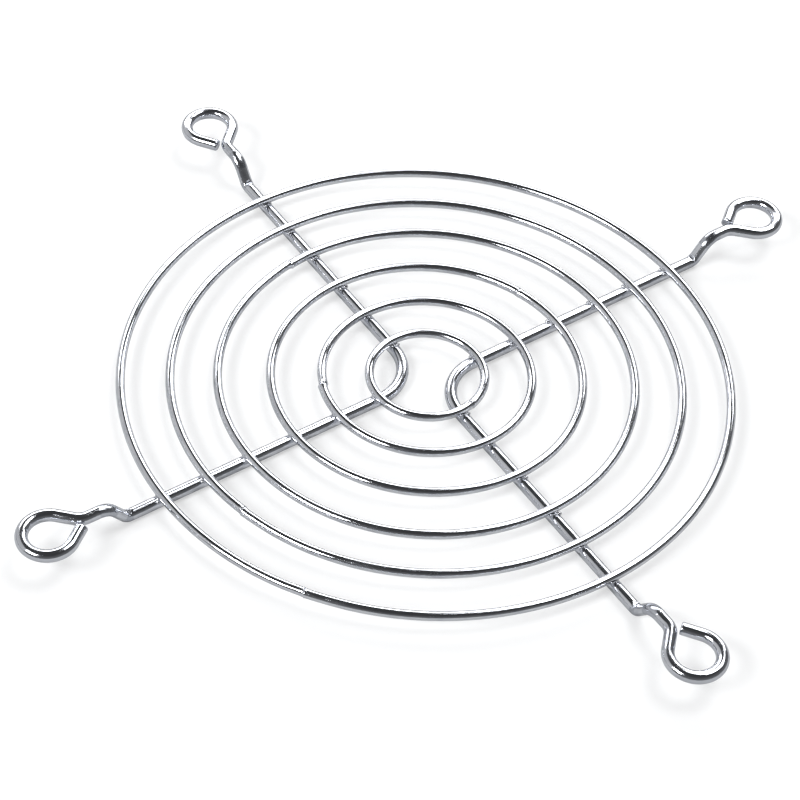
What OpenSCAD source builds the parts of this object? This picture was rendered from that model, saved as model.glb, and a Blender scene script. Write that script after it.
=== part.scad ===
// Wire guard for a square-framed axial fan, in millimetres.
//
// Six concentric wire rings are welded across two thicker carrier wires. Each carrier is one
// length of wire: it starts at a screw eye, runs in under the rings, turns in a round bend
// near the fan's axis and runs out again to the next eye. Past the outer ring each arm steps
// up, so the eyes stand above the rings and meet the fan's flange before the rings do.
//
// +Z is up and the guard lies on its carriers. The origin is on the fan's axis, in the plane
// that the carriers lie on. The four eyes sit on a square along X and Y.

/* [Fan] */
// Distance between neighbouring screw holes of the fan
hole_spacing = 82.5; // [81:0.5:105]

/* [Rings] */
// Thickness of the ring wire
ring_wire = 1.25; // [0.8:0.05:1.6]
// Diameter of the innermost ring, to the middle of its wire
ring_1_d = 16; // [12:0.5:21]
// Diameter of the second ring
ring_2_d = 29; // [25:0.5:35]
// Diameter of the third ring
ring_3_d = 43; // [39:0.5:49]
// Diameter of the fourth ring
ring_4_d = 57.5; // [53:0.5:63]
// Diameter of the fifth ring
ring_5_d = 70.5; // [67:0.5:76]
// Diameter of the outermost ring
ring_6_d = 84; // [80:0.5:86]
// Length of the thickened wire at the butt weld that closes a ring
seam_length = 0.7; // [0.3:0.1:1.5]
// How far that butt weld stands out from the wire
seam_upset = 0.07; // [0.02:0.01:0.15]

/* [Carriers] */
// Thickness of the carrier wire
carrier_wire = 1.7; // [1.2:0.1:2.2]
// Distance from the fan's axis to the point at which a carrier's two arms aim
arm_offset = 0.7; // [0.2:0.1:2]
// Radius of the bend between the two arms, to the middle of the wire
bend_r = 7; // [4:0.5:9]
// How much thicker the wire is through every bend, where the bending tool has squeezed it
bend_swell = 0.02; // [0.02:0.01:0.1]
// Depth to which the welds press each ring into the carriers
weld_set = 0.2; // [0.05:0.05:0.3]
// How far the weld metal reaches past the ring wire on each side
weld_bead = 0.2; // [0.1:0.05:0.25]

/* [Steps] */
// Straight length of arm between the outermost ring and its step
step_gap = 4.5; // [1.5:0.25:5.5]
// Height by which a step lifts the screw eye above the arm
step_rise = 3.25; // [2.25:0.25:4.5]
// Slope of the step
step_angle = 52; // [40:1:60]
// Radius of the step's lower bend, to the middle of the wire
foot_r = 1.5; // [1.2:0.1:2]
// Radius of the step's upper bend, to the middle of the wire
crest_r = 2.8; // [1.4:0.1:3.2]

/* [Screw eyes] */
// Clear width of the eye, for the fan's screw
eye_hole = 5.1; // [4.2:0.1:6]
// Angle that the wire turns round the screw
eye_turn = 262; // [250:1:270]
// Angle by which the wire swerves aside before it turns round the screw
neck_angle = 45; // [40:1:55]
// Radius of that swerve, to the middle of the wire
neck_r = 2.2; // [1.4:0.1:3]
// Gap between the cut end of the wire and the neck of the eye
end_gap = 0.2; // [0.1:0.05:0.6]

/* [Hidden] */
CHROME = [0.80, 0.81, 0.83];
WIRE_FN = 48;      // facets of a wire's section
PATH_FN = 144;     // facets of a full turn of wire
LAP = 0.05;        // overlap of a straight run with the bend at its end
$fn = WIRE_FN;

ring_d = [ring_1_d, ring_2_d, ring_3_d, ring_4_d, ring_5_d, ring_6_d];
// Direction of each ring's butt weld, in degrees round the fan's axis
seam_at = [-32, -158, 63, 144, -122, -101];
bend_wire = carrier_wire + bend_swell;
bead_d = min(ring_wire, carrier_wire) + 2 * weld_bead;

// Heights above the plane that the carriers' bends touch
carrier_z = bend_wire / 2;
arm_top = carrier_z + carrier_wire / 2;
ring_z = arm_top + ring_wire / 2 - weld_set;
bead_z = ring_z - bead_d / 2; // the bead stays below the middle of the ring wire

// An arm aims from the screw hole at a point on the X axis, arm_offset short of the fan's axis
hole_x = hole_spacing / 2;
arm_angle = atan2(hole_x, hole_x - arm_offset);
arm_length = norm([hole_x - arm_offset, hole_x]);
bend_end = bend_r / tan(arm_angle);

// Distances along an arm, from the point at which it aims
step_start = arm_reach(ring_6_d / 2) + step_gap;
step_tangents = (foot_r + crest_r) * tan(step_angle / 2);
step_slope = step_rise / sin(step_angle) - step_tangents;
step_end = step_start + step_rise / tan(step_angle) + step_tangents;

eye_r = (eye_hole + carrier_wire) / 2;
neck_tangent = neck_r * tan(neck_angle / 2);
neck_start = arm_length - eye_r / sin(neck_angle) - neck_tangent;
neck_run = eye_r / tan(neck_angle) - neck_tangent;
// The wire leaves the eye in a straight tail, cut end_gap short of the neck
tail = (eye_hole / 2 * (1 - cos(eye_turn)) - end_gap) / -sin(eye_turn);

// Distance along an arm at which it crosses a circle of radius r round the fan's axis
function arm_reach(r) =
    sqrt(pow(r, 2) - pow(arm_offset * sin(arm_angle), 2)) - arm_offset * cos(arm_angle);

// Round wire bent to radius r in the XY plane, round the origin
module bent_wire(r, wire, from, sweep) {
    rotate_extrude(angle = sweep, start = from, $fn = PATH_FN)
        translate([r, 0]) circle(d = wire, $fn = WIRE_FN);
}

// The carriers' wire is laid stretch by stretch, straight runs and bends in turn: each
// stretch starts at the origin along +X, and its children carry on from its far end.
// A run laps into the bend at each of its ends.
module run(length, end_lap = LAP) {
    translate([-LAP, 0, 0]) rotate([0, 90, 0])
        cylinder(d = carrier_wire, h = length + LAP + end_lap);
    translate([length, 0, 0]) children();
}

module turn_left(r, angle) {
    translate([0, r, 0]) {
        bent_wire(r, bend_wire, -90, angle);
        rotate(angle) translate([0, -r, 0]) children();
    }
}

module turn_right(r, angle) {
    translate([0, -r, 0]) {
        bent_wire(r, bend_wire, 90 - angle, angle);
        rotate(-angle) translate([0, r, 0]) children();
    }
}

// The neck swerves to the right, then the wire turns left round the screw
module screw_eye() {
    turn_right(neck_r, neck_angle) run(neck_run) turn_left(eye_r, eye_turn)
        run(tail, end_lap = 0);
}

// One arm, from the end of the middle bend to the cut end of its eye
module arm() {
    run(step_start - bend_end)
        rotate([90, 0, 0]) turn_left(foot_r, step_angle) run(step_slope)
            turn_right(crest_r, step_angle) rotate([-90, 0, 0])
                run(neck_start - step_end) screw_eye();
}

// Puts its children at the aiming point, along one of the two arms of the left carrier
module on_arm(side) {
    translate([-arm_offset, 0, 0]) rotate(180 - side * arm_angle) children();
}

module carrier_wire_path() {
    translate([-arm_offset - bend_r / sin(arm_angle), 0, 0])
        bent_wire(bend_r, bend_wire, arm_angle - 90, 180 - 2 * arm_angle);
    for (side = [-1, 1]) on_arm(side) translate([bend_end, 0, 0]) arm();
}

module weld_beads() {
    for (side = [-1, 1], d = ring_d)
        on_arm(side) translate([arm_reach(d / 2), 0, bead_z]) sphere(d = bead_d);
}

module plain_ring(d) {
    translate([0, 0, ring_z]) bent_wire(d / 2, ring_wire, 0, 360);
}

// A ring with the slight swelling of the butt weld that closes it
module ring(i) {
    radius = ring_d[i] / 2;
    seam_sweep = seam_length / radius * 180 / PI;
    color(CHROME) union() {
        plain_ring(ring_d[i]);
        translate([0, 0, ring_z])
            bent_wire(radius, ring_wire + 2 * seam_upset, seam_at[i] - seam_sweep / 2, seam_sweep);
    }
}

// The left carrier with its weld beads, and a seat under each ring
module carrier() {
    color(CHROME) difference() {
        union() {
            translate([0, 0, carrier_z]) carrier_wire_path();
            weld_beads();
        }
        for (d = ring_d) plain_ring(d);
    }
}

ring(0);  // ring_1
ring(1);  // ring_2
ring(2);  // ring_3
ring(3);  // ring_4
ring(4);  // ring_5
ring(5);  // ring_6
carrier();  // carrier_left
rotate(180) carrier();  // carrier_right
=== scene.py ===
"""Dresses the wire fan guard: plated rings, carriers with screw eyes, and their spot welds.

Lengths in the dataclasses are in millimetres and angles in degrees, apart from the lamps
and the floor, which are in metres. Every mesh is in metres and in the frame's own
coordinates: +Z up, the fan's axis on Z.
"""

import logging
import math
import random
from dataclasses import dataclass, field, replace
from enum import Enum
from functools import cached_property

import bpy
from mathutils import Matrix, Vector


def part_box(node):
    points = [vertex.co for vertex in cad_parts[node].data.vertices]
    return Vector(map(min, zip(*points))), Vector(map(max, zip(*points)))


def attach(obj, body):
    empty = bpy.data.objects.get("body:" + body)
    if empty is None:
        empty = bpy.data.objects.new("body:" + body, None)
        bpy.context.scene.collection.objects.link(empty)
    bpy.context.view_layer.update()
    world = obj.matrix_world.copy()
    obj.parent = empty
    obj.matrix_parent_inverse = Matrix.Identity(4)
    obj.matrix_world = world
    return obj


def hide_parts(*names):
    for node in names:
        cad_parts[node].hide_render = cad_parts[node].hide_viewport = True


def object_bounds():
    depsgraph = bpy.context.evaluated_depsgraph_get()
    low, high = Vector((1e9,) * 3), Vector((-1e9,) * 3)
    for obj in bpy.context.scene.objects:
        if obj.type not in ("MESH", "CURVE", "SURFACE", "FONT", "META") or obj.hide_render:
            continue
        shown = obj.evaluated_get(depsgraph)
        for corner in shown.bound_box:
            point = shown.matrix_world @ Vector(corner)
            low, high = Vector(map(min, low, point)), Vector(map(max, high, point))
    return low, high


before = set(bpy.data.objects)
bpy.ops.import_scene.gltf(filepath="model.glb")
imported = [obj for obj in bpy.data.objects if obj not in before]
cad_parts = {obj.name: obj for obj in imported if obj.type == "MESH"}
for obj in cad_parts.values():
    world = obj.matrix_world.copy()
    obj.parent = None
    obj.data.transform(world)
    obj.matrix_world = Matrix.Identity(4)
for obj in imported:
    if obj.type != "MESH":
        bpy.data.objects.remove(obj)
CAD_LOW, CAD_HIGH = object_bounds()

MM = 0.001
BODY = "root"

Socket = bpy.types.NodeSocket
Colour = tuple[float, float, float]

log = logging.getLogger("fan_guard")


class Slot(Enum):
    """Material slots of the record."""

    RINGS = "ring_wire"
    CARRIERS = "carrier_wire"


class Side(Enum):
    """The two carriers, by the turn about the fan's axis that places them."""

    LEFT = 0.0
    RIGHT = 180.0


def show(name: str, data: bpy.types.ID) -> bpy.types.Object:
    """Makes an object and puts it in the scene.

    Args:
        name: the object's name.
        data: its mesh, lamp or camera.

    Returns:
        The object.
    """
    made = bpy.data.objects.new(name, data)
    bpy.context.scene.collection.objects.link(made)
    return made


# ---------- Node trees ----------


@dataclass(frozen=True)
class Grain:
    """A fine random pattern: how often it changes in a metre, along and across a wire."""

    along: float
    across: float
    detail: float = 2.0
    roughness: float = 0.5


class Tree:
    """A node tree with short calls for adding and joining nodes."""

    def __init__(self, tree: bpy.types.NodeTree) -> None:
        """Wraps a tree to add nodes to."""
        self.tree = tree
        self.column = 0

    def find(self, kind: str) -> bpy.types.Node:
        """Returns the tree's first node of a type."""
        return next(node for node in self.tree.nodes if node.type == kind)

    def add(self, kind: str, **settings: object) -> bpy.types.Node:
        """Adds a node.

        Args:
            kind: the node's type name.
            settings: attributes of the node to set.

        Returns:
            The new node.
        """
        node = self.tree.nodes.new(kind)
        node.location = (self.column * 180, -(self.column % 5) * 140)
        self.column += 1
        for name, value in settings.items():
            setattr(node, name, value)
        return node

    def put(self, socket: Socket, value: object) -> None:
        """Joins an output to an input, or sets the input's own value.

        Args:
            socket: the input.
            value: an output, a plain value, or None to leave the input alone.
        """
        if isinstance(value, Socket):
            self.tree.links.new(value, socket)
        elif value is not None:
            socket.default_value = value

    def fill(self, node: bpy.types.Node, *values: object) -> Socket:
        """Fills a node's inputs in order.

        Args:
            node: the node.
            values: an output or a plain value for each input.

        Returns:
            The node's first output.
        """
        for socket, value in zip(node.inputs, values):
            self.put(socket, value)
        return node.outputs[0]

    def make(self, kind: str, inputs: dict[str, object], **settings: object) -> Socket:
        """Adds a node and fills its inputs by their names.

        Args:
            kind: the node's type name.
            inputs: an output or a plain value for each input.
            settings: attributes of the node to set.

        Returns:
            The node's first output.
        """
        node = self.add(kind, **settings)
        for name, value in inputs.items():
            self.put(node.inputs[name], value)
        return node.outputs[0]

    def math(self, operation: str, *values: object, clamp: bool = False) -> Socket:
        """Works on numbers; with clamp, the result is held between 0 and 1."""
        node = self.add("ShaderNodeMath", operation=operation, use_clamp=clamp)
        return self.fill(node, *values)

    def vector(self, operation: str, a: object, b: object = None) -> Socket:
        """Adds a Vector Math node.

        Args:
            operation: the node's operation.
            a: first vector.
            b: second vector, or the factor of a SCALE.

        Returns:
            Its vector, or its number for a dot product or a length.
        """
        node = self.add("ShaderNodeVectorMath", operation=operation)
        self.put(node.inputs[0], a)
        self.put(node.inputs["Scale" if operation == "SCALE" else 1], b)
        return node.outputs["Value" if operation in {"DOT_PRODUCT", "LENGTH"} else "Vector"]

    def compose(self, *numbers: object) -> Socket:
        """Joins three numbers into a vector."""
        return self.fill(self.add("ShaderNodeCombineXYZ"), *numbers)

    def split(self, vector: Socket) -> bpy.types.NodeOutputs:
        """Gives the three numbers of a vector."""
        return self.fill(self.add("ShaderNodeSeparateXYZ"), vector).node.outputs

    def spread(self, *numbers: object) -> Socket:
        """Maps a number smoothly from a range, start and end, onto another or 0 to 1."""
        node = self.add("ShaderNodeMapRange", interpolation_type="SMOOTHSTEP")
        return self.fill(node, *numbers)

    def grain(self, place: Socket, grain: Grain) -> Socket:
        """Reads a random pattern at a place, whose X runs along the wire."""
        scales = (grain.along, grain.across, grain.across)
        return self.make("ShaderNodeTexNoise", {
            "Vector": self.vector("MULTIPLY", place, scales), "Scale": 1.0,
            "Detail": grain.detail, "Roughness": grain.roughness})


class Attribute(Enum):
    """Fields of a Station that a wire's path hands on to its mesh, with their types."""

    RADIUS = ("wire_radius", "FLOAT")
    PRESS = ("press", "FLOAT")
    PRESS_TO = ("press_to", "FLOAT_VECTOR")
    PINCH = ("pinch", "FLOAT")
    PINCH_ALONG = ("pinch_along", "FLOAT_VECTOR")
    HEAT = ("heat", "FLOAT")
    WORK = ("work", "FLOAT")


LAY = "lay"  # a point's place on the straight wire, before it was bent


class GeometryTree(Tree):
    """A geometry node group with named inputs."""

    def __init__(self, name: str) -> None:
        """Makes a group with a geometry input and output.

        Args:
            name: the group's name.
        """
        super().__init__(bpy.data.node_groups.new(name, "GeometryNodeTree"))
        self.tree.is_modifier = True
        self.identifiers: dict[str, str] = {}
        self.socket("Geometry", "Geometry")
        self.tree.interface.new_socket("Geometry", in_out="OUTPUT",
                                       socket_type="NodeSocketGeometry")
        self.entry = self.add("NodeGroupInput")

    def socket(self, name: str, kind: str, value: object = None) -> None:
        """Adds a named input.

        Args:
            name: the input's name.
            kind: what it takes, such as Float or Int.
            value: its default value.
        """
        made = self.tree.interface.new_socket(name, in_out="INPUT",
                                              socket_type="NodeSocket" + kind)
        if value is not None:
            made.default_value = value
        self.identifiers[name] = made.identifier

    def given(self, name: str) -> Socket:
        """Returns the group's input of that name."""
        return self.entry.outputs[name]

    def here(self) -> Socket:
        """Returns the place of the point that is worked on."""
        return self.add("GeometryNodeInputPosition").outputs[0]

    def read(self, name: str, kind: str = "FLOAT_VECTOR") -> Socket:
        """Reads a named attribute of a kind, FLOAT or FLOAT_VECTOR."""
        return self.make("GeometryNodeInputNamedAttribute", {"Name": name}, data_type=kind)

    def keep(self, geometry: Socket, name: str, value: Socket,
             kind: str = "FLOAT_VECTOR") -> Socket:
        """Stores a value on points as a named attribute and returns the geometry."""
        return self.make("GeometryNodeStoreNamedAttribute",
                         {"Geometry": geometry, "Name": name, "Value": value},
                         data_type=kind, domain="POINT")

    def move(self, geometry: Socket, offset: Socket) -> Socket:
        """Moves points by an offset and returns the geometry."""
        return self.make("GeometryNodeSetPosition", {"Geometry": geometry, "Offset": offset})

    def ball(self, radius: Socket, fineness: int) -> Socket:
        """Makes a ball, with its faces divided so many times."""
        return self.make("GeometryNodeMeshIcoSphere",
                         {"Radius": radius, "Subdivisions": fineness})

    def scatter(self, points: Socket, piece: Socket, turn: Socket, scale: Socket) -> Socket:
        """Puts a piece on each point, turned and stretched, and returns them all."""
        return self.make("GeometryNodeInstanceOnPoints", {
            "Points": points, "Instance": piece, "Rotation": turn, "Scale": scale})

    def finish(self, geometry: Socket) -> None:
        """Realizes instances, sets the material and ends the tree.

        Args:
            geometry: the finished geometry.
        """
        real = self.make("GeometryNodeRealizeInstances", {"Geometry": geometry})
        paint = self.make("GeometryNodeSetMaterial",
                          {"Geometry": real, "Material": self.given("Material")})
        self.put(self.add("NodeGroupOutput").inputs[0], paint)


WIRE_UNEVENNESS = Grain(140.0, 420.0, detail=1.0)
RIPPLE_TOP = 0.75  # the pattern's value where the wire keeps its own outline


def swept_wire_tree() -> GeometryTree:
    """Builds the tree that sweeps a round section along a path.

    Returns:
        The tree. Its path is a chain of edges that carries the values of Attribute.
    """
    tree = GeometryTree("swept_wire")
    tree.socket("Section Points", "Int", 32)
    tree.socket("Ripple", "Float", 0.0)
    tree.socket("Spread", "Float", 0.7)
    tree.socket("Material", "Material")
    radius = tree.read(*Attribute.RADIUS.value)
    press = tree.read(*Attribute.PRESS.value)
    press_to = tree.read(*Attribute.PRESS_TO.value)
    pinch = tree.read(*Attribute.PINCH.value)
    pinch_along = tree.read(*Attribute.PINCH_ALONG.value)

    path = tree.make("GeometryNodeMeshToCurve", {"Mesh": tree.given("Geometry")})
    run = tree.add("GeometryNodeSplineParameter").outputs["Length"]
    path = tree.keep(path, "run", run, "FLOAT")
    path = tree.keep(path, "core", tree.here())
    circle = tree.make("GeometryNodeCurvePrimitiveCircle",
                       {"Resolution": tree.given("Section Points"), "Radius": 1.0},
                       mode="RADIUS")
    section = tree.keep(circle, "around", tree.here())
    wire = tree.make("GeometryNodeCurveToMesh", {
        "Curve": path, "Profile Curve": section, "Scale": radius, "Fill Caps": True})

    # Tool marks: what stands past the pressed depth is moved back to it.
    offset = tree.vector("SUBTRACT", tree.here(), tree.read("core"))
    flat = tree.math("SUBTRACT", radius, press)
    past = tree.math("SUBTRACT", tree.vector("DOT_PRODUCT", offset, press_to), flat)
    pressed = tree.vector("SCALE", press_to, tree.math(
        "MULTIPLY", tree.math("MAXIMUM", past, 0.0), -1.0))

    # Squeezed wire: flatter one way, wider the other.
    across = tree.vector("SCALE", pinch_along, tree.vector("DOT_PRODUCT", offset, pinch_along))
    closed = tree.vector("SCALE", across, tree.math("MULTIPLY", pinch, -1.0))
    sideways = tree.vector("SCALE", tree.vector("SUBTRACT", offset, across),
                           tree.math("MULTIPLY", pinch, tree.given("Spread")))
    pinched = tree.vector("ADD", closed, sideways)

    # Drawn wire's slight unevenness, read on the wire as it was before bending.
    side, up, _ = tree.split(tree.vector("SCALE", tree.read("around"), radius))
    lay = tree.compose(tree.read("run", "FLOAT"), side, up)
    uneven = tree.math("SUBTRACT", tree.grain(lay, WIRE_UNEVENNESS), RIPPLE_TOP)
    ripple = tree.math("MULTIPLY", uneven, tree.given("Ripple"))
    rippled = tree.vector("SCALE", tree.vector("NORMALIZE", offset), ripple)

    moved = tree.vector("ADD", tree.vector("ADD", pressed, pinched), rippled)
    tree.finish(tree.keep(tree.move(wire, moved), LAY, lay))
    return tree


WELD_LUMPS = Grain(1100.0, 1100.0)
LUMPS_TOP = 0.6  # the pattern's value where the bead keeps its own outline
BEAD_FINENESS = 4
CRUMB_FINENESS = 3
CRUMB_PLACES = ((0.62, -0.86), (-0.62, -0.86), (0.62, 0.86))  # along the ring and the arm
CRUMB_SIZES = (0.55, 1.1)  # smallest and largest
CRUMB_SHAPE = (1.0, 0.75, 0.8)


def weld_tree() -> GeometryTree:
    """Builds the tree that puts squeezed-out weld metal on the crossings.

    Returns:
        The tree. Its points carry ring_dir and arm_dir, the two wires' directions.
    """
    tree = GeometryTree("weld_metal")
    tree.socket("Bead Radius", "Float", 0.8 * MM)
    tree.socket("Bead Stretch", "Vector", (1.0, 1.0, 1.0))
    tree.socket("Crumb Radius", "Float", 0.25 * MM)
    tree.socket("Crumb Reach", "Float", 0.9 * MM)
    tree.socket("Ruggedness", "Float", 0.05 * MM)
    tree.socket("Seed", "Int", 7)
    tree.socket("Material", "Material")
    ring_dir, arm_dir = tree.read("ring_dir"), tree.read("arm_dir")
    turn = tree.make("FunctionNodeAlignRotationToVector", {"Vector": ring_dir}, axis="X")
    points = tree.make("GeometryNodeMeshToPoints", {"Mesh": tree.given("Geometry")})
    bead = tree.ball(tree.given("Bead Radius"), BEAD_FINENESS)
    crumb = tree.ball(tree.given("Crumb Radius"), CRUMB_FINENESS)
    joined = tree.add("GeometryNodeJoinGeometry")
    beads = tree.scatter(points, bead, turn, tree.given("Bead Stretch"))
    tree.put(joined.inputs[0], beads)
    for number, (along_ring, along_arm) in enumerate(CRUMB_PLACES):
        draw = tree.add("FunctionNodeRandomValue", data_type="FLOAT")
        draw.inputs[2].default_value, draw.inputs[3].default_value = CRUMB_SIZES
        tree.put(draw.inputs["Seed"], tree.math("ADD", tree.given("Seed"), number))
        chance = draw.outputs[1]
        far = tree.math("MULTIPLY", tree.given("Crumb Reach"), chance)
        aside = tree.vector("ADD", tree.vector("SCALE", ring_dir, along_ring),
                            tree.vector("SCALE", arm_dir, along_arm))
        places = tree.move(points, tree.vector("SCALE", aside, far))
        shape = tree.vector("SCALE", CRUMB_SHAPE, chance)
        tree.put(joined.inputs[0], tree.scatter(places, crumb, turn, shape))

    real = tree.make("GeometryNodeRealizeInstances", {"Geometry": joined.outputs[0]})
    here = tree.here()
    lumps = tree.math("SUBTRACT", tree.grain(here, WELD_LUMPS), LUMPS_TOP)
    push = tree.math("MULTIPLY", lumps, tree.given("Ruggedness"))
    outward = tree.add("GeometryNodeInputNormal").outputs[0]
    rugged = tree.move(real, tree.vector("SCALE", outward, push))
    tree.finish(tree.keep(rugged, LAY, here))
    return tree


SHARP_ANGLE = 50.0  # between the faces of an edge that stays sharp


def plain_mesh(name: str, path: bpy.types.Mesh, tree: GeometryTree,
               values: dict[str, object]) -> bpy.types.Object:
    """Runs a geometry tree on a path and keeps its result as a plain mesh.

    Args:
        name: name of the piece.
        path: the mesh that the tree works on.
        tree: the tree.
        values: the tree's named inputs.

    Returns:
        The piece, at the origin, with no modifier.
    """
    source = show(name + "_path", path)
    modifier = source.modifiers.new("build", "NODES")
    modifier.node_group = tree.tree
    for key, value in values.items():
        modifier[tree.identifiers[key]] = value
    graph = bpy.context.evaluated_depsgraph_get()
    mesh = bpy.data.meshes.new_from_object(source.evaluated_get(graph),
                                           preserve_all_data_layers=True, depsgraph=graph)
    mesh.name = name
    source.modifiers.remove(modifier)
    bpy.data.objects.remove(source)
    bpy.data.meshes.remove(path)
    if signed_volume(mesh) < 0:
        mesh.flip_normals()
    mesh.shade_smooth()
    mesh.set_sharp_from_angle(angle=math.radians(SHARP_ANGLE))
    return show(name, mesh)


def signed_volume(mesh: bpy.types.Mesh) -> float:
    """Gives the volume that a mesh encloses, below zero if its faces point inwards.

    Args:
        mesh: a closed mesh.

    Returns:
        The volume in cubic metres.
    """
    mesh.calc_loop_triangles()
    corners = ([mesh.vertices[i].co for i in t.vertices] for t in mesh.loop_triangles)
    return sum(a.dot(b.cross(c)) for a, b, c in corners) / 6


# ---------- Finishes ----------

DRAWING_LINES = Grain(90.0, 9000.0, detail=3.0, roughness=0.6)
WAVES = Grain(420.0, 1300.0)
PORES = Grain(7000.0, 7000.0, roughness=0.6)
MIST = Grain(300.0, 700.0, detail=4.0, roughness=0.65)
NICKS = Grain(2600.0, 1900.0, roughness=0.6)

# Values at which each begins to show and shows fully.
PORES_THAT_PIT = (0.62, 0.75)
MIST_THAT_SHOWS = (0.42, 0.72)
WEAR_THAT_BATTERS = (0.6, 1.0)

PIT_ROUGHNESS = 0.15


def lay_group() -> bpy.types.NodeTree:
    """Builds the shared effect of drawn and plated wire.

    Returns:
        A shader group that puts out a height, a roughness and a colour.
    """
    group = bpy.data.node_groups.new("drawn_and_plated", "ShaderNodeTree")
    tree = Tree(group)
    inputs = {"Line Depth": 0.3, "Wave Depth": 0.3, "Pit Depth": 0.3, "Base Roughness": 0.1,
              "Haze": 0.1, "Wear": 0.0, "Nick Depth": 0.0}
    for name, value in inputs.items():
        made = group.interface.new_socket(name, in_out="INPUT", socket_type="NodeSocketFloat")
        made.default_value = value
    for name in ("Bright", "Dull"):
        group.interface.new_socket(name, in_out="INPUT", socket_type="NodeSocketColor")
    for name, kind in (("Height", "Float"), ("Roughness", "Float"), ("Color", "Color")):
        group.interface.new_socket(name, in_out="OUTPUT", socket_type="NodeSocket" + kind)
    given = tree.add("NodeGroupInput").outputs
    lay = tree.add("ShaderNodeAttribute", attribute_name=LAY).outputs["Vector"]

    pits = tree.spread(tree.grain(lay, PORES), *PORES_THAT_PIT)
    mist = tree.spread(tree.grain(lay, MIST), *MIST_THAT_SHOWS)
    battered = tree.spread(given["Wear"], *WEAR_THAT_BATTERS)
    nick_depth = tree.math("MULTIPLY", given["Nick Depth"], battered)
    height = tree.math("MULTIPLY", tree.grain(lay, DRAWING_LINES), given["Line Depth"])
    height = tree.math("MULTIPLY_ADD", tree.grain(lay, WAVES), given["Wave Depth"], height)
    height = tree.math("MULTIPLY_ADD", tree.grain(lay, NICKS), nick_depth, height)
    pitted = tree.math("MULTIPLY", pits, given["Pit Depth"])
    height = tree.math("SUBTRACT", height, pitted)

    worn = tree.math("MAXIMUM", mist, given["Wear"], clamp=True)
    rough = tree.math("MULTIPLY_ADD", worn, given["Haze"], given["Base Roughness"])
    rough = tree.math("MULTIPLY_ADD", pits, PIT_ROUGHNESS, rough)

    blend = tree.add("ShaderNodeMix", data_type="RGBA", blend_type="MIX")
    tree.put(blend.inputs[0], tree.math("MAXIMUM", worn, pits, clamp=True))
    tree.put(blend.inputs[6], given["Bright"])  # 6, 7 and 2 are this node's colours
    tree.put(blend.inputs[7], given["Dull"])
    end = tree.add("NodeGroupOutput").inputs
    tree.put(end["Height"], height)
    tree.put(end["Roughness"], rough)
    tree.put(end["Color"], blend.outputs[2])
    return group


@dataclass(frozen=True)
class PlatedFinish:
    """Bright plating on drawn steel wire."""

    name: str
    bright: Colour
    dull: Colour
    roughness: float = 0.07
    haze: float = 0.12
    line_depth: float = 0.25
    wave_depth: float = 0.5
    pit_depth: float = 0.3
    nick_depth: float = 0.0
    bump: float = 0.12
    bump_distance: float = 0.02
    worn_by: tuple[Attribute, ...] = ()

    def material(self, group: bpy.types.NodeTree) -> bpy.types.Material:
        """Makes the finish's material.

        Args:
            group: the shared effect of drawn and plated wire.

        Returns:
            The material.
        """
        material = bpy.data.materials.new(self.name)
        material.use_nodes = True
        material.diffuse_color = (*self.bright, 1.0)
        tree = Tree(material.node_tree)
        effect = tree.add("ShaderNodeGroup", node_tree=group)
        values = {"Bright": (*self.bright, 1.0), "Dull": (*self.dull, 1.0),
                  "Base Roughness": self.roughness, "Haze": self.haze,
                  "Line Depth": self.line_depth, "Wave Depth": self.wave_depth,
                  "Pit Depth": self.pit_depth, "Nick Depth": self.nick_depth}
        for name, value in values.items():
            effect.inputs[name].default_value = value
        wear = 0.0
        for attribute in self.worn_by:
            mark = tree.add("ShaderNodeAttribute", attribute_name=attribute.value[0])
            wear = tree.math("MAXIMUM", wear, mark.outputs["Fac"])
        tree.put(effect.inputs["Wear"], wear)
        bump = tree.make("ShaderNodeBump", {
            "Strength": self.bump, "Distance": self.bump_distance * MM,
            "Height": effect.outputs["Height"]})
        shader = tree.find("BSDF_PRINCIPLED").inputs
        shader["Metallic"].default_value = 1.0
        tree.put(shader["Base Color"], effect.outputs["Color"])
        tree.put(shader["Roughness"], effect.outputs["Roughness"])
        tree.put(shader["Normal"], bump)
        return material


RING_FINISH = PlatedFinish("ring_plating", (0.84, 0.857, 0.90), (0.64, 0.66, 0.71),
                           worn_by=(Attribute.HEAT,))
CARRIER_FINISH = PlatedFinish("carrier_plating", (0.82, 0.837, 0.885), (0.60, 0.62, 0.67),
                              line_depth=0.35, nick_depth=9.0,
                              worn_by=(Attribute.HEAT, Attribute.WORK))
WELD_FINISH = PlatedFinish("weld_plating", (0.70, 0.71, 0.74), (0.36, 0.365, 0.39),
                           roughness=0.16, haze=0.2, line_depth=0.0, wave_depth=1.2,
                           pit_depth=0.8, bump=0.5, bump_distance=0.05)


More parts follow.
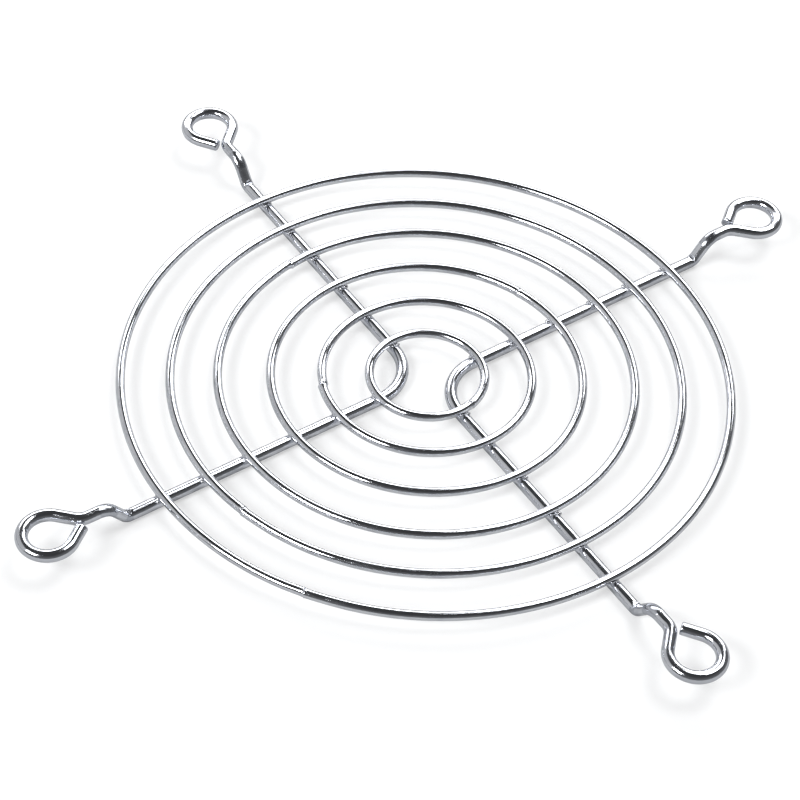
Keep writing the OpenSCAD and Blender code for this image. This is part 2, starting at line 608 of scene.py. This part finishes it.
@dataclass(frozen=True)
class FloorFinish:
    """White studio floor that keeps the guard's shadow.

    It is grey to the lamps, and a glow that the metal hardly mirrors lifts it to white.
    """

    grey: Colour = (0.46, 0.465, 0.47)
    roughness: float = 0.9
    near: float = 0.25
    far: float = 1.3
    near_glow: float = 0.54
    far_glow: float = 0.98
    mirrored_glow: float = 0.04

    def material(self) -> bpy.types.Material:
        """Makes the floor's material.

        Returns:
            The material.
        """
        material = bpy.data.materials.new("studio_floor")
        material.use_nodes = True
        tree = Tree(material.node_tree)
        shader = tree.find("BSDF_PRINCIPLED")
        shader.inputs["Base Color"].default_value = (*self.grey, 1.0)
        shader.inputs["Roughness"].default_value = self.roughness
        shader.inputs["Specular IOR Level"].default_value = 0.0
        ray = tree.add("ShaderNodeLightPath").outputs
        in_metal = tree.math("MAXIMUM", ray["Is Glossy Ray"], ray["Is Transmission Ray"])
        mirrored = tree.math("MULTIPLY", in_metal, self.mirrored_glow)
        away = tree.vector("LENGTH", tree.add("ShaderNodeTexCoord").outputs["Object"])
        seen = tree.spread(away, self.near, self.far, self.near_glow, self.far_glow)
        lift = tree.math("MULTIPLY_ADD", ray["Is Camera Ray"], seen, mirrored)
        glow = tree.make("ShaderNodeEmission", {"Strength": lift})
        both = tree.fill(tree.add("ShaderNodeAddShader"), shader.outputs[0], glow)
        tree.put(tree.find("OUTPUT_MATERIAL").inputs["Surface"], both)
        return material


# ---------- Paths of bent wire ----------

WORK_IN_BENDS = 0.5  # how far the finish is worn in the middle of a bend, from 0 to 1
LEAST_POINTS_IN_BEND = 6


def upwards() -> Vector:
    """Gives the direction +Z."""
    return Vector((0, 0, 1))


@dataclass
class Station:
    """One point of a wire's path in metres, with what the sweep and the finish need there."""

    place: Vector
    wire_radius: float
    press: float = 0.0
    press_to: Vector = field(default_factory=upwards)
    pinch: float = 0.0
    pinch_along: Vector = field(default_factory=upwards)
    heat: float = 0.0
    work: float = 0.0

    def moved(self, motion: Matrix) -> "Station":
        """Gives the station after a rigid motion."""
        turn = motion.to_3x3()
        return replace(self, place=motion @ self.place, press_to=turn @ self.press_to,
                       pinch_along=turn @ self.pinch_along)


@dataclass(frozen=True)
class ToolMark:
    """What a bending tool leaves on the inside of a tight bend: a groove in a flat."""

    groove: float
    groove_width: float
    flat: float
    flat_width: float

    def depth_at(self, distance: float) -> float:
        """Gives how far the wire is pressed in.

        Args:
            distance: distance in metres along the wire from the middle of the bend.

        Returns:
            The depth in metres.
        """
        groove = self.groove * MM * math.exp(-((distance / (self.groove_width * MM)) ** 2))
        flat = self.flat * MM * math.exp(-((distance / (self.flat_width * MM)) ** 4))
        return groove + flat


class Bender:
    """Lays wire stretch by stretch, in metres, as a bending machine does."""

    def __init__(self, place: Vector, radius: float, step: float) -> None:
        """Starts along +X.

        Args:
            place: the first point.
            radius: the wire's radius.
            step: distance between the path's points.
        """
        self.place = place.copy()
        self.ahead = Vector((1, 0, 0))
        self.left = Vector((0, 1, 0))
        self.radius = radius
        self.step = step
        self.stations = [Station(place.copy(), radius)]

    @property
    def above(self) -> Vector:
        """Direction square to the wire and to its left."""
        return self.ahead.cross(self.left)

    def run(self, length: float) -> None:
        """Lays a straight stretch.

        Args:
            length: its length.
        """
        count = max(2, round(length / self.step))
        for i in range(1, count + 1):
            place = self.place + self.ahead * (length * i / count)
            self.stations.append(Station(place, self.radius))
        self.place = self.stations[-1].place.copy()

    def turn(self, radius: float, degrees: float, towards: Vector, swell: float,
             mark: ToolMark | None = None) -> None:
        """Bends the wire.

        Args:
            radius: radius of the bend.
            degrees: angle of the bend.
            towards: direction of the bend's centre.
            swell: how much thicker the wire is there.
            mark: what the tool leaves inside the bend.
        """
        axis = self.ahead.cross(towards)
        centre = self.place + towards * radius
        arm = self.place - centre
        angle = math.radians(degrees)
        count = max(LEAST_POINTS_IN_BEND, round(radius * angle / self.step))
        for i in range(1, count + 1):
            part = i / count
            turn = Matrix.Rotation(angle * part, 3, axis)
            bent = math.sin(math.pi * part)
            station = Station(centre + turn @ arm, self.radius + swell * bent,
                              press_to=turn @ towards, work=WORK_IN_BENDS * bent)
            if mark:
                station.press = mark.depth_at((part - 0.5) * radius * angle)
                station.work = 1.0
            self.stations.append(station)
        whole = Matrix.Rotation(angle, 3, axis)
        self.place = self.stations[-1].place.copy()
        self.ahead = whole @ self.ahead
        self.left = whole @ self.left

    def squeeze(self, first: int, amount: float) -> None:
        """Flattens the stations from one on, as the stepping tool does.

        It eases in and out over a quarter of the stretch at each end.

        Args:
            first: number of the first station.
            amount: how far the wire is flattened, from 0 to 1.
        """
        stretch = self.stations[first:]
        for i, station in enumerate(stretch):
            ease = min(1.0, 4 * min(i, len(stretch) - 1 - i) / len(stretch))
            before = self.stations[first + i - 1].place
            along = (station.place - before).normalized()
            station.pinch = amount * ease * ease * (3 - 2 * ease)
            station.pinch_along = along.cross(self.left)

    def cut(self, length: float, depth: float, narrowing: float = 0.1) -> None:
        """Gives the end of the wire the wedge that cutters leave.

        Args:
            length: length of the wedge.
            depth: how far it closes, from 0 to 1.
            narrowing: how much thinner its tip is, from 0 to 1.
        """
        end = self.stations[-1].place
        for station in self.stations:
            left_over = (station.place - end).length
            if left_over < length:
                part = 1 - left_over / length
                station.pinch = depth * part ** 1.6
                station.pinch_along = self.above
                station.wire_radius *= 1 - narrowing * part ** 4
                station.work = 1.0


def path_mesh(name: str, stations: list[Station], closed: bool) -> bpy.types.Mesh:
    """Makes the chain of edges that the sweep follows.

    Args:
        name: name of the mesh.
        stations: the path's points.
        closed: whether the last point joins the first.

    Returns:
        The mesh, with the values of Attribute on its points.
    """
    mesh = bpy.data.meshes.new(name)
    count = len(stations)
    edges = [(i, (i + 1) % count) for i in range(count if closed else count - 1)]
    mesh.from_pydata([s.place for s in stations], edges, [])
    for label, kind in (attribute.value for attribute in Attribute):
        layer = mesh.attributes.new(label, kind, "POINT")
        entry = "value" if kind == "FLOAT" else "vector"
        for item, station in zip(layer.data, stations):
            setattr(item, entry, getattr(station, label))
    return mesh


# ---------- The guard's pieces ----------


def settle(piece: bpy.types.Object, slot: Slot, *nodes: str) -> None:
    """Joins a finished piece to the frame and reports it.

    Args:
        piece: the piece.
        slot: the slot of its finish in the record; not used.
        nodes: CAD nodes that it stands for.
    """
    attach(piece, BODY)
    if nodes:
        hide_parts(*nodes)
    log.info("%s: %d faces", piece.name, len(piece.data.polygons))


@dataclass(frozen=True)
class Crossing:
    """A spot weld between a ring and an arm, in metres."""

    place: Vector
    ring_dir: Vector
    arm_dir: Vector
    reach: float = 1.6 * MM

    def heat_at(self, place: Vector) -> float:
        """Tells how far the weld has touched the wire at a place, from 0 to 1."""
        return math.exp(-(((place - self.place).length / self.reach) ** 4))


def hump(distance: float, reach: float) -> float:
    """Gives a soft hump: 1 at its middle, and a third of that at its reach."""
    return math.exp(-((distance / reach) ** 2))


@dataclass
class WireRing:
    """A ring of wire, closed by a butt weld.

    Its ends slip a little out of line, the weld leaves an upset with a groove, and away
    from the seam the ring wobbles, oval and three-sided.
    """

    number: int
    seam_at: float
    wire: float = 1.25
    step: float = 0.5
    near_seam: tuple[float, ...] = (0.03, 0.08, 0.13, 0.19, 0.26, 0.34, 0.44, 0.56, 0.7, 0.9,
                                    1.15, 1.5, 1.9)
    seam_end: float = 2.3
    slip: float = 0.07
    slip_reach: float = 2.4
    slip_rise: float = 0.5
    upset: float = 0.06
    upset_reach: float = 0.32
    groove: float = 0.13
    groove_reach: float = 0.07
    heat_reach: float = 0.8
    wobble: float = 0.05
    wobble_free: float = 6.0
    oval: float = 0.6
    three_sided: float = 0.4
    seed: int = 100
    section_points: int = 32
    ripple: float = 0.006

    @property
    def node(self) -> str:
        """Name of the ring's CAD node."""
        return f"ring_{self.number}"

    @cached_property
    def radius(self) -> float:
        """Radius to the middle of the wire, in metres."""
        low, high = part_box(self.node)
        return (high[1] - low[1] - self.wire * MM) / 2

    @cached_property
    def height(self) -> float:
        """Height of the wire's middle, in metres."""
        low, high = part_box(self.node)
        return (low[2] + high[2]) / 2

    def distances(self) -> list[float]:
        """Gives the distances from the seam at which the path has points.

        Returns:
            Distances along the ring in metres, close together near the seam.
        """
        length = math.tau * self.radius
        first = [d * MM for d in self.near_seam]
        start, end = self.seam_end * MM, length - self.seam_end * MM
        count = round((end - start) / (self.step * MM))
        middle = [start + (end - start) * i / count for i in range(count + 1)]
        return first + middle + [length - d for d in reversed(first)]

    def stations(self, crossings: list[Crossing]) -> list[Station]:
        """Lays the ring's path.

        Args:
            crossings: the guard's spot welds.

        Returns:
            The path's points.
        """
        chance = random.Random(self.seed + self.number)
        oval_at, lobes_at, *_ = (chance.uniform(0, math.tau) for _ in range(4))
        tilt = chance.choice((-1, 1))
        length = math.tau * self.radius
        made = []
        for distance in self.distances():
            back = min(distance, length - distance) / MM
            side = 1 if distance < length / 2 else -1
            angle = math.radians(self.seam_at) + distance / self.radius
            slip = side * self.slip * hump(back, self.slip_reach) * MM
            free = 1 - hump(back, self.wobble_free)
            waves = (self.oval * math.sin(2 * angle + oval_at)
                     + self.three_sided * math.sin(3 * angle + lobes_at))
            reach = self.radius + self.wobble * MM * free * waves + slip
            place = Vector((reach * math.cos(angle), reach * math.sin(angle),
                            self.height + tilt * self.slip_rise * slip))
            upset = self.upset * hump(back, self.upset_reach)
            groove = (self.upset + self.groove) * hump(back, self.groove_reach)
            heat = max(c.heat_at(place) for c in crossings)
            made.append(Station(place, (self.wire / 2 + upset - groove) * MM,
                                heat=max(heat, hump(back, self.heat_reach))))
        return made

    def build(self, sweep: GeometryTree, material: bpy.types.Material,
              crossings: list[Crossing]) -> None:
        """Builds and dresses the ring.

        Args:
            sweep: the tree that sweeps wire.
            material: the ring's plating.
            crossings: the guard's spot welds.
        """
        path = path_mesh(self.node + "_line", self.stations(crossings), closed=True)
        piece = plain_mesh(f"wire_ring_{self.number}", path, sweep, {
            "Section Points": self.section_points, "Ripple": self.ripple * MM,
            "Material": material})
        settle(piece, Slot.RINGS, self.node)


@dataclass
class Carrier:
    """One bent carrier wire with its two arms, steps and screw eyes."""

    side: Side
    hole_spacing: float = 82.5
    wire: float = 1.7
    swell: float = 0.02
    arm_offset: float = 0.7
    bend_r: float = 7.0
    bend_work: float = 0.4
    step_start: float = 46.01
    step_rise: float = 3.25
    step_angle: float = 52.0
    foot_r: float = 1.5
    foot_mark: ToolMark = ToolMark(0.17, 0.16, 0.12, 0.75)
    crest_r: float = 2.8
    crest_mark: ToolMark = ToolMark(0.085, 0.3, 0.12, 0.8)
    squeeze: float = 0.13
    neck_angle: float = 45.0
    neck_r: float = 2.2
    eye_hole: float = 5.1
    eye_turn: float = 262.0
    end_gap: float = 0.2
    cut_length: float = 0.3
    cut_depth: float = 0.12
    path_step: float = 0.28
    fine_step: float = 0.06
    tail_step: float = 0.05
    section_points: int = 36
    ripple: float = 0.008

    @property
    def node(self) -> str:
        """Name of the carrier's CAD node."""
        return f"carrier_{self.side.name.lower()}"

    @property
    def arm_angle(self) -> float:
        """Angle between an arm and the X axis, in radians."""
        half = self.hole_spacing / 2
        return math.atan2(half, half - self.arm_offset)

    @cached_property
    def height(self) -> float:
        """Height of the arms' middle, in metres."""
        low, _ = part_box(self.node)
        return low[2] + (self.wire + self.swell) / 2 * MM

    @property
    def eye_r(self) -> float:
        """Radius of the eye, to the middle of the wire."""
        return (self.eye_hole + self.wire) / 2

    @property
    def whole_turn(self) -> Matrix:
        """Turn about the fan's axis that places this side's carrier."""
        return Matrix.Rotation(math.radians(self.side.value), 4, "Z")

    def arm(self) -> list[Station]:
        """Lays one arm from the middle bend to its cut end.

        Returns:
            The path, along +X from the point at which the arm aims.
        """
        half = self.hole_spacing / 2
        arm_length = math.hypot(half - self.arm_offset, half)
        bend_end = self.bend_r / math.tan(self.arm_angle)
        slope = math.radians(self.step_angle)
        tangents = (self.foot_r + self.crest_r) * math.tan(slope / 2)
        slope_run = self.step_rise / math.sin(slope) - tangents
        step_end = self.step_start + self.step_rise / math.tan(slope) + tangents
        neck = math.radians(self.neck_angle)
        neck_tangent = self.neck_r * math.tan(neck / 2)
        neck_start = arm_length - self.eye_r / math.sin(neck) - neck_tangent
        neck_run = self.eye_r / math.tan(neck) - neck_tangent
        eye = math.radians(self.eye_turn)
        tail = (self.eye_hole / 2 * (1 - math.cos(eye)) - self.end_gap) / -math.sin(eye)
        swell = self.swell / 2 * MM

        wire = Bender(Vector((bend_end * MM, 0, 0)), self.wire / 2 * MM, self.path_step * MM)
        wire.run((self.step_start - bend_end) * MM)
        first = len(wire.stations)
        wire.step = self.fine_step * MM
        wire.turn(self.foot_r * MM, self.step_angle, wire.above, swell, self.foot_mark)
        wire.run(slope_run * MM)
        wire.turn(self.crest_r * MM, self.step_angle, -wire.above, swell, self.crest_mark)
        wire.squeeze(first, self.squeeze)
        wire.step = self.path_step * MM
        wire.run((neck_start - step_end) * MM)
        wire.turn(self.neck_r * MM, self.neck_angle, -wire.left, swell)
        wire.run(neck_run * MM)
        wire.turn(self.eye_r * MM, self.eye_turn, wire.left, swell)
        wire.step = self.tail_step * MM
        wire.run(tail * MM)
        wire.cut(self.cut_length * MM, self.cut_depth)
        return wire.stations

    def motion(self, way: int) -> Matrix:
        """Gives the motion that lays an arm on its line.

        Args:
            way: 1 for the arm that runs to +Y on the left carrier, -1 for the other.

        Returns:
            The motion.
        """
        turn = Matrix.Rotation(math.pi - way * self.arm_angle, 4, "Z")
        move = Matrix.Translation((-self.arm_offset * MM, 0, self.height))
        return self.whole_turn @ move @ turn

    def bend(self) -> list[Station]:
        """Lays the round middle bend, from the one arm to the other.

        Returns:
            The path's points.
        """
        centre_x = -(self.arm_offset + self.bend_r / math.sin(self.arm_angle))
        sweep = math.pi - 2 * self.arm_angle
        count = round(self.bend_r * sweep / self.path_step)
        made = []
        for i in range(1, count):
            angle = sweep / 2 - sweep * i / count
            place = Vector(((centre_x + self.bend_r * math.cos(angle)) * MM,
                            self.bend_r * math.sin(angle) * MM, self.height))
            bent = math.sin(math.pi * i / count)
            radius = (self.wire + self.swell * bent) / 2 * MM
            made.append(Station(self.whole_turn @ place, radius, work=self.bend_work * bent))
        return made

    def stations(self, crossings: list[Crossing]) -> list[Station]:
        """Lays the whole carrier from cut end to cut end.

        Args:
            crossings: the guard's spot welds.

        Returns:
            The path's points.
        """
        arm = self.arm()
        first, second = ([s.moved(self.motion(way)) for s in arm] for way in (1, -1))
        made = first[::-1] + self.bend() + second
        for station in made:
            station.heat = max(c.heat_at(station.place) for c in crossings)
        return made

    def crossings(self, rings: list[WireRing], height: float) -> list[Crossing]:
        """Finds where the arms pass under the rings.

        Args:
            rings: the rings.
            height: height of the weld beads' middle, in metres.

        Returns:
            One crossing for each ring and arm.
        """
        found = []
        for way in (1, -1):
            motion = self.motion(way)
            start = motion @ Vector((0, 0, 0))
            start.z = 0
            ahead = (motion.to_3x3() @ Vector((1, 0, 0))).normalized()
            for ring in rings:
                along = -start.dot(ahead)
                along += math.sqrt(along ** 2 - start.length_squared + ring.radius ** 2)
                place = start + ahead * along
                place.z = height
                tangent = Vector((-place.y, place.x, 0)).normalized()
                found.append(Crossing(place, tangent, ahead))
        return found

    def build(self, sweep: GeometryTree, material: bpy.types.Material,
              crossings: list[Crossing]) -> None:
        """Builds and dresses the carrier.

        Args:
            sweep: the tree that sweeps wire.
            material: the carrier's plating.
            crossings: the guard's spot welds.
        """
        path = path_mesh(self.node + "_line", self.stations(crossings), closed=False)
        piece = plain_mesh(f"bent_{self.node}", path, sweep, {
            "Section Points": self.section_points, "Ripple": self.ripple * MM,
            "Material": material})
        settle(piece, Slot.CARRIERS, self.node)


@dataclass
class SpotWelds:
    """Weld metal on one carrier's crossings."""

    side: Side
    bead_radius: float = 0.8
    stretch: tuple[float, float, float] = (1.0, 0.9, 0.72)
    crumb_radius: float = 0.34
    crumb_reach: float = 0.85
    ruggedness: float = 0.16
    seed: int = 11

    def build(self, tree: GeometryTree, material: bpy.types.Material,
              crossings: list[Crossing]) -> None:
        """Builds and dresses the welds.

        Args:
            tree: the tree of weld metal.
            material: the welds' plating.
            crossings: the crossings on this carrier.
        """
        name = f"spot_welds_{self.side.name.lower()}"
        points = bpy.data.meshes.new(name + "_points")
        points.from_pydata([c.place for c in crossings], [], [])
        for label in ("ring_dir", "arm_dir"):
            layer = points.attributes.new(label, "FLOAT_VECTOR", "POINT")
            for item, crossing in zip(layer.data, crossings):
                item.vector = getattr(crossing, label)
        piece = plain_mesh(name, points, tree, {
            "Bead Radius": self.bead_radius * MM, "Bead Stretch": self.stretch,
            "Crumb Radius": self.crumb_radius * MM, "Crumb Reach": self.crumb_reach * MM,
            "Ruggedness": self.ruggedness * MM, "Seed": self.seed, "Material": material})
        settle(piece, Slot.CARRIERS)


# ---------- Studio ----------


@dataclass(frozen=True)
class SoftLamp:
    """A soft lamp in metres and watts, hung at a distance from the guard's middle."""

    name: str
    towards: tuple[float, float, float]
    distance: float
    width: float
    height: float
    power: float

    def hang(self) -> None:
        """Hangs the lamp, facing the guard and unseen by the camera."""
        lamp = bpy.data.lights.new(self.name, "AREA")
        lamp.shape = "RECTANGLE"
        lamp.size, lamp.size_y = self.width, self.height
        lamp.energy = self.power
        away = Vector(self.towards).normalized()
        hung = show(self.name, lamp)
        hung.location = away * self.distance
        hung.rotation_mode = "QUATERNION"
        hung.rotation_quaternion = away.to_track_quat("Z", "Y")
        hung.visible_camera = False


LAMPS = (SoftLamp("back_light", (-0.12, 0.85, 0.52), 1.0, 1.45, 0.4, 7.8),
         SoftLamp("right_light", (0.31, 0.39, 0.87), 1.0, 0.48, 0.46, 4.3),
         SoftLamp("left_light", (-0.54, -0.52, 0.66), 0.97, 0.44, 0.3, 5.9),
         SoftLamp("left_wall", (-0.88, 0.1, 0.46), 1.0, 1.5, 0.85, 1.7))


@dataclass
class Studio:
    """Floor, light and camera."""

    azimuth: float = 8.04
    elevation: float = 46.51
    roll: float = 4.15
    distance: float = 316.5
    aside: float = -3.72
    upward: float = -3.52
    lens: float = 103.46
    sensor: float = 36.0
    clip: tuple[float, float] = (0.01, 50.0)
    floor_size: float = 6.0
    floor_gap: float = 0.00002
    sky: Colour = (0.97, 0.985, 1.0)
    sky_top: float = 0.95
    sky_low: float = 0.16
    sky_high: float = 0.045

    def floor(self) -> None:
        """Lays the floor under the guard."""
        size, height = self.floor_size, CAD_LOW[2] - self.floor_gap
        mesh = bpy.data.meshes.new("floor")
        mesh.from_pydata([(-size, -size, height), (size, -size, height),
                          (size, size, height), (-size, size, height)], [], [(0, 1, 2, 3)])
        mesh.materials.append(FloorFinish().material())
        show("floor", mesh)

    def surroundings(self) -> None:
        """Makes the light from all round, dimmer overhead and white to the camera."""
        world = bpy.data.worlds.new("studio")
        bpy.context.scene.world = world
        world.use_nodes = True
        tree = Tree(world.node_tree)
        height = tree.split(tree.add("ShaderNodeTexCoord").outputs["Generated"])[2]
        room = tree.find("BACKGROUND")
        room.inputs["Color"].default_value = (*self.sky, 1.0)
        tree.put(room.inputs["Strength"],
                 tree.spread(height, 0.0, self.sky_top, self.sky_low, self.sky_high))
        white = tree.make("ShaderNodeBackground", {"Color": (1.0, 1.0, 1.0, 1.0)})
        seen = tree.add("ShaderNodeLightPath").outputs["Is Camera Ray"]
        pick = tree.fill(tree.add("ShaderNodeMixShader"), seen, room.outputs[0], white)
        tree.put(tree.find("OUTPUT_WORLD").inputs["Surface"], pick)

    def camera(self) -> None:
        """Sets the camera up, aimed at the middle of the outer ring."""
        azimuth, elevation, roll = map(math.radians, (self.azimuth, self.elevation, self.roll))
        back = Vector((math.sin(azimuth) * math.cos(elevation),
                       -math.cos(azimuth) * math.cos(elevation), math.sin(elevation)))
        right = Vector((math.cos(azimuth), math.sin(azimuth), 0))
        up = back.cross(right)
        across = right * math.cos(roll) + up * math.sin(roll)
        upright = up * math.cos(roll) - right * math.sin(roll)
        low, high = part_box("ring_6")
        aim = Vector((0, 0, (low[2] + high[2]) / 2))
        place = (aim + back * self.distance * MM + across * self.aside * MM
                 + upright * self.upward * MM)
        lens = bpy.data.cameras.new("camera")
        lens.lens, lens.sensor_width = self.lens, self.sensor
        lens.clip_start, lens.clip_end = self.clip
        camera = show("camera", lens)
        turn = Matrix((across, upright, back)).transposed()
        camera.matrix_world = Matrix.Translation(place) @ turn.to_4x4()
        bpy.context.scene.camera = camera

    def build(self) -> None:
        """Sets up the whole studio."""
        bpy.context.scene.view_settings.view_transform = "Standard"
        self.camera()
        self.floor()
        self.surroundings()
        for lamp in LAMPS:
            lamp.hang()
        log.info("studio: floor, lamps and camera in place")


SEAMS = (-32.0, -158.0, 63.0, 144.0, -122.0, -101.0)  # where each ring closes, inside out
BEAD_DROP = 0.52  # from the middle of the ring wire down to the middle of a bead


def main() -> None:
    """Builds the studio, then the guard's pieces in order."""
    logging.basicConfig(level=logging.INFO, format="%(name)s: %(message)s")
    Studio().build()
    effect = lay_group()
    ring_plating = RING_FINISH.material(effect)
    carrier_plating = CARRIER_FINISH.material(effect)
    weld_plating = WELD_FINISH.material(effect)
    sweep, weld_metal = swept_wire_tree(), weld_tree()

    rings = [WireRing(number, angle) for number, angle in enumerate(SEAMS, start=1)]
    carriers = [Carrier(side) for side in Side]
    bead_height = rings[0].height - BEAD_DROP * MM
    welds = {c.side: c.crossings(rings, bead_height) for c in carriers}
    every_weld = [weld for found in welds.values() for weld in found]
    for ring in rings:
        ring.build(sweep, ring_plating, every_weld)
    for carrier in carriers:
        carrier.build(sweep, carrier_plating, every_weld)
        SpotWelds(carrier.side).build(weld_metal, weld_plating, welds[carrier.side])


if __name__ == "__main__":
    main()
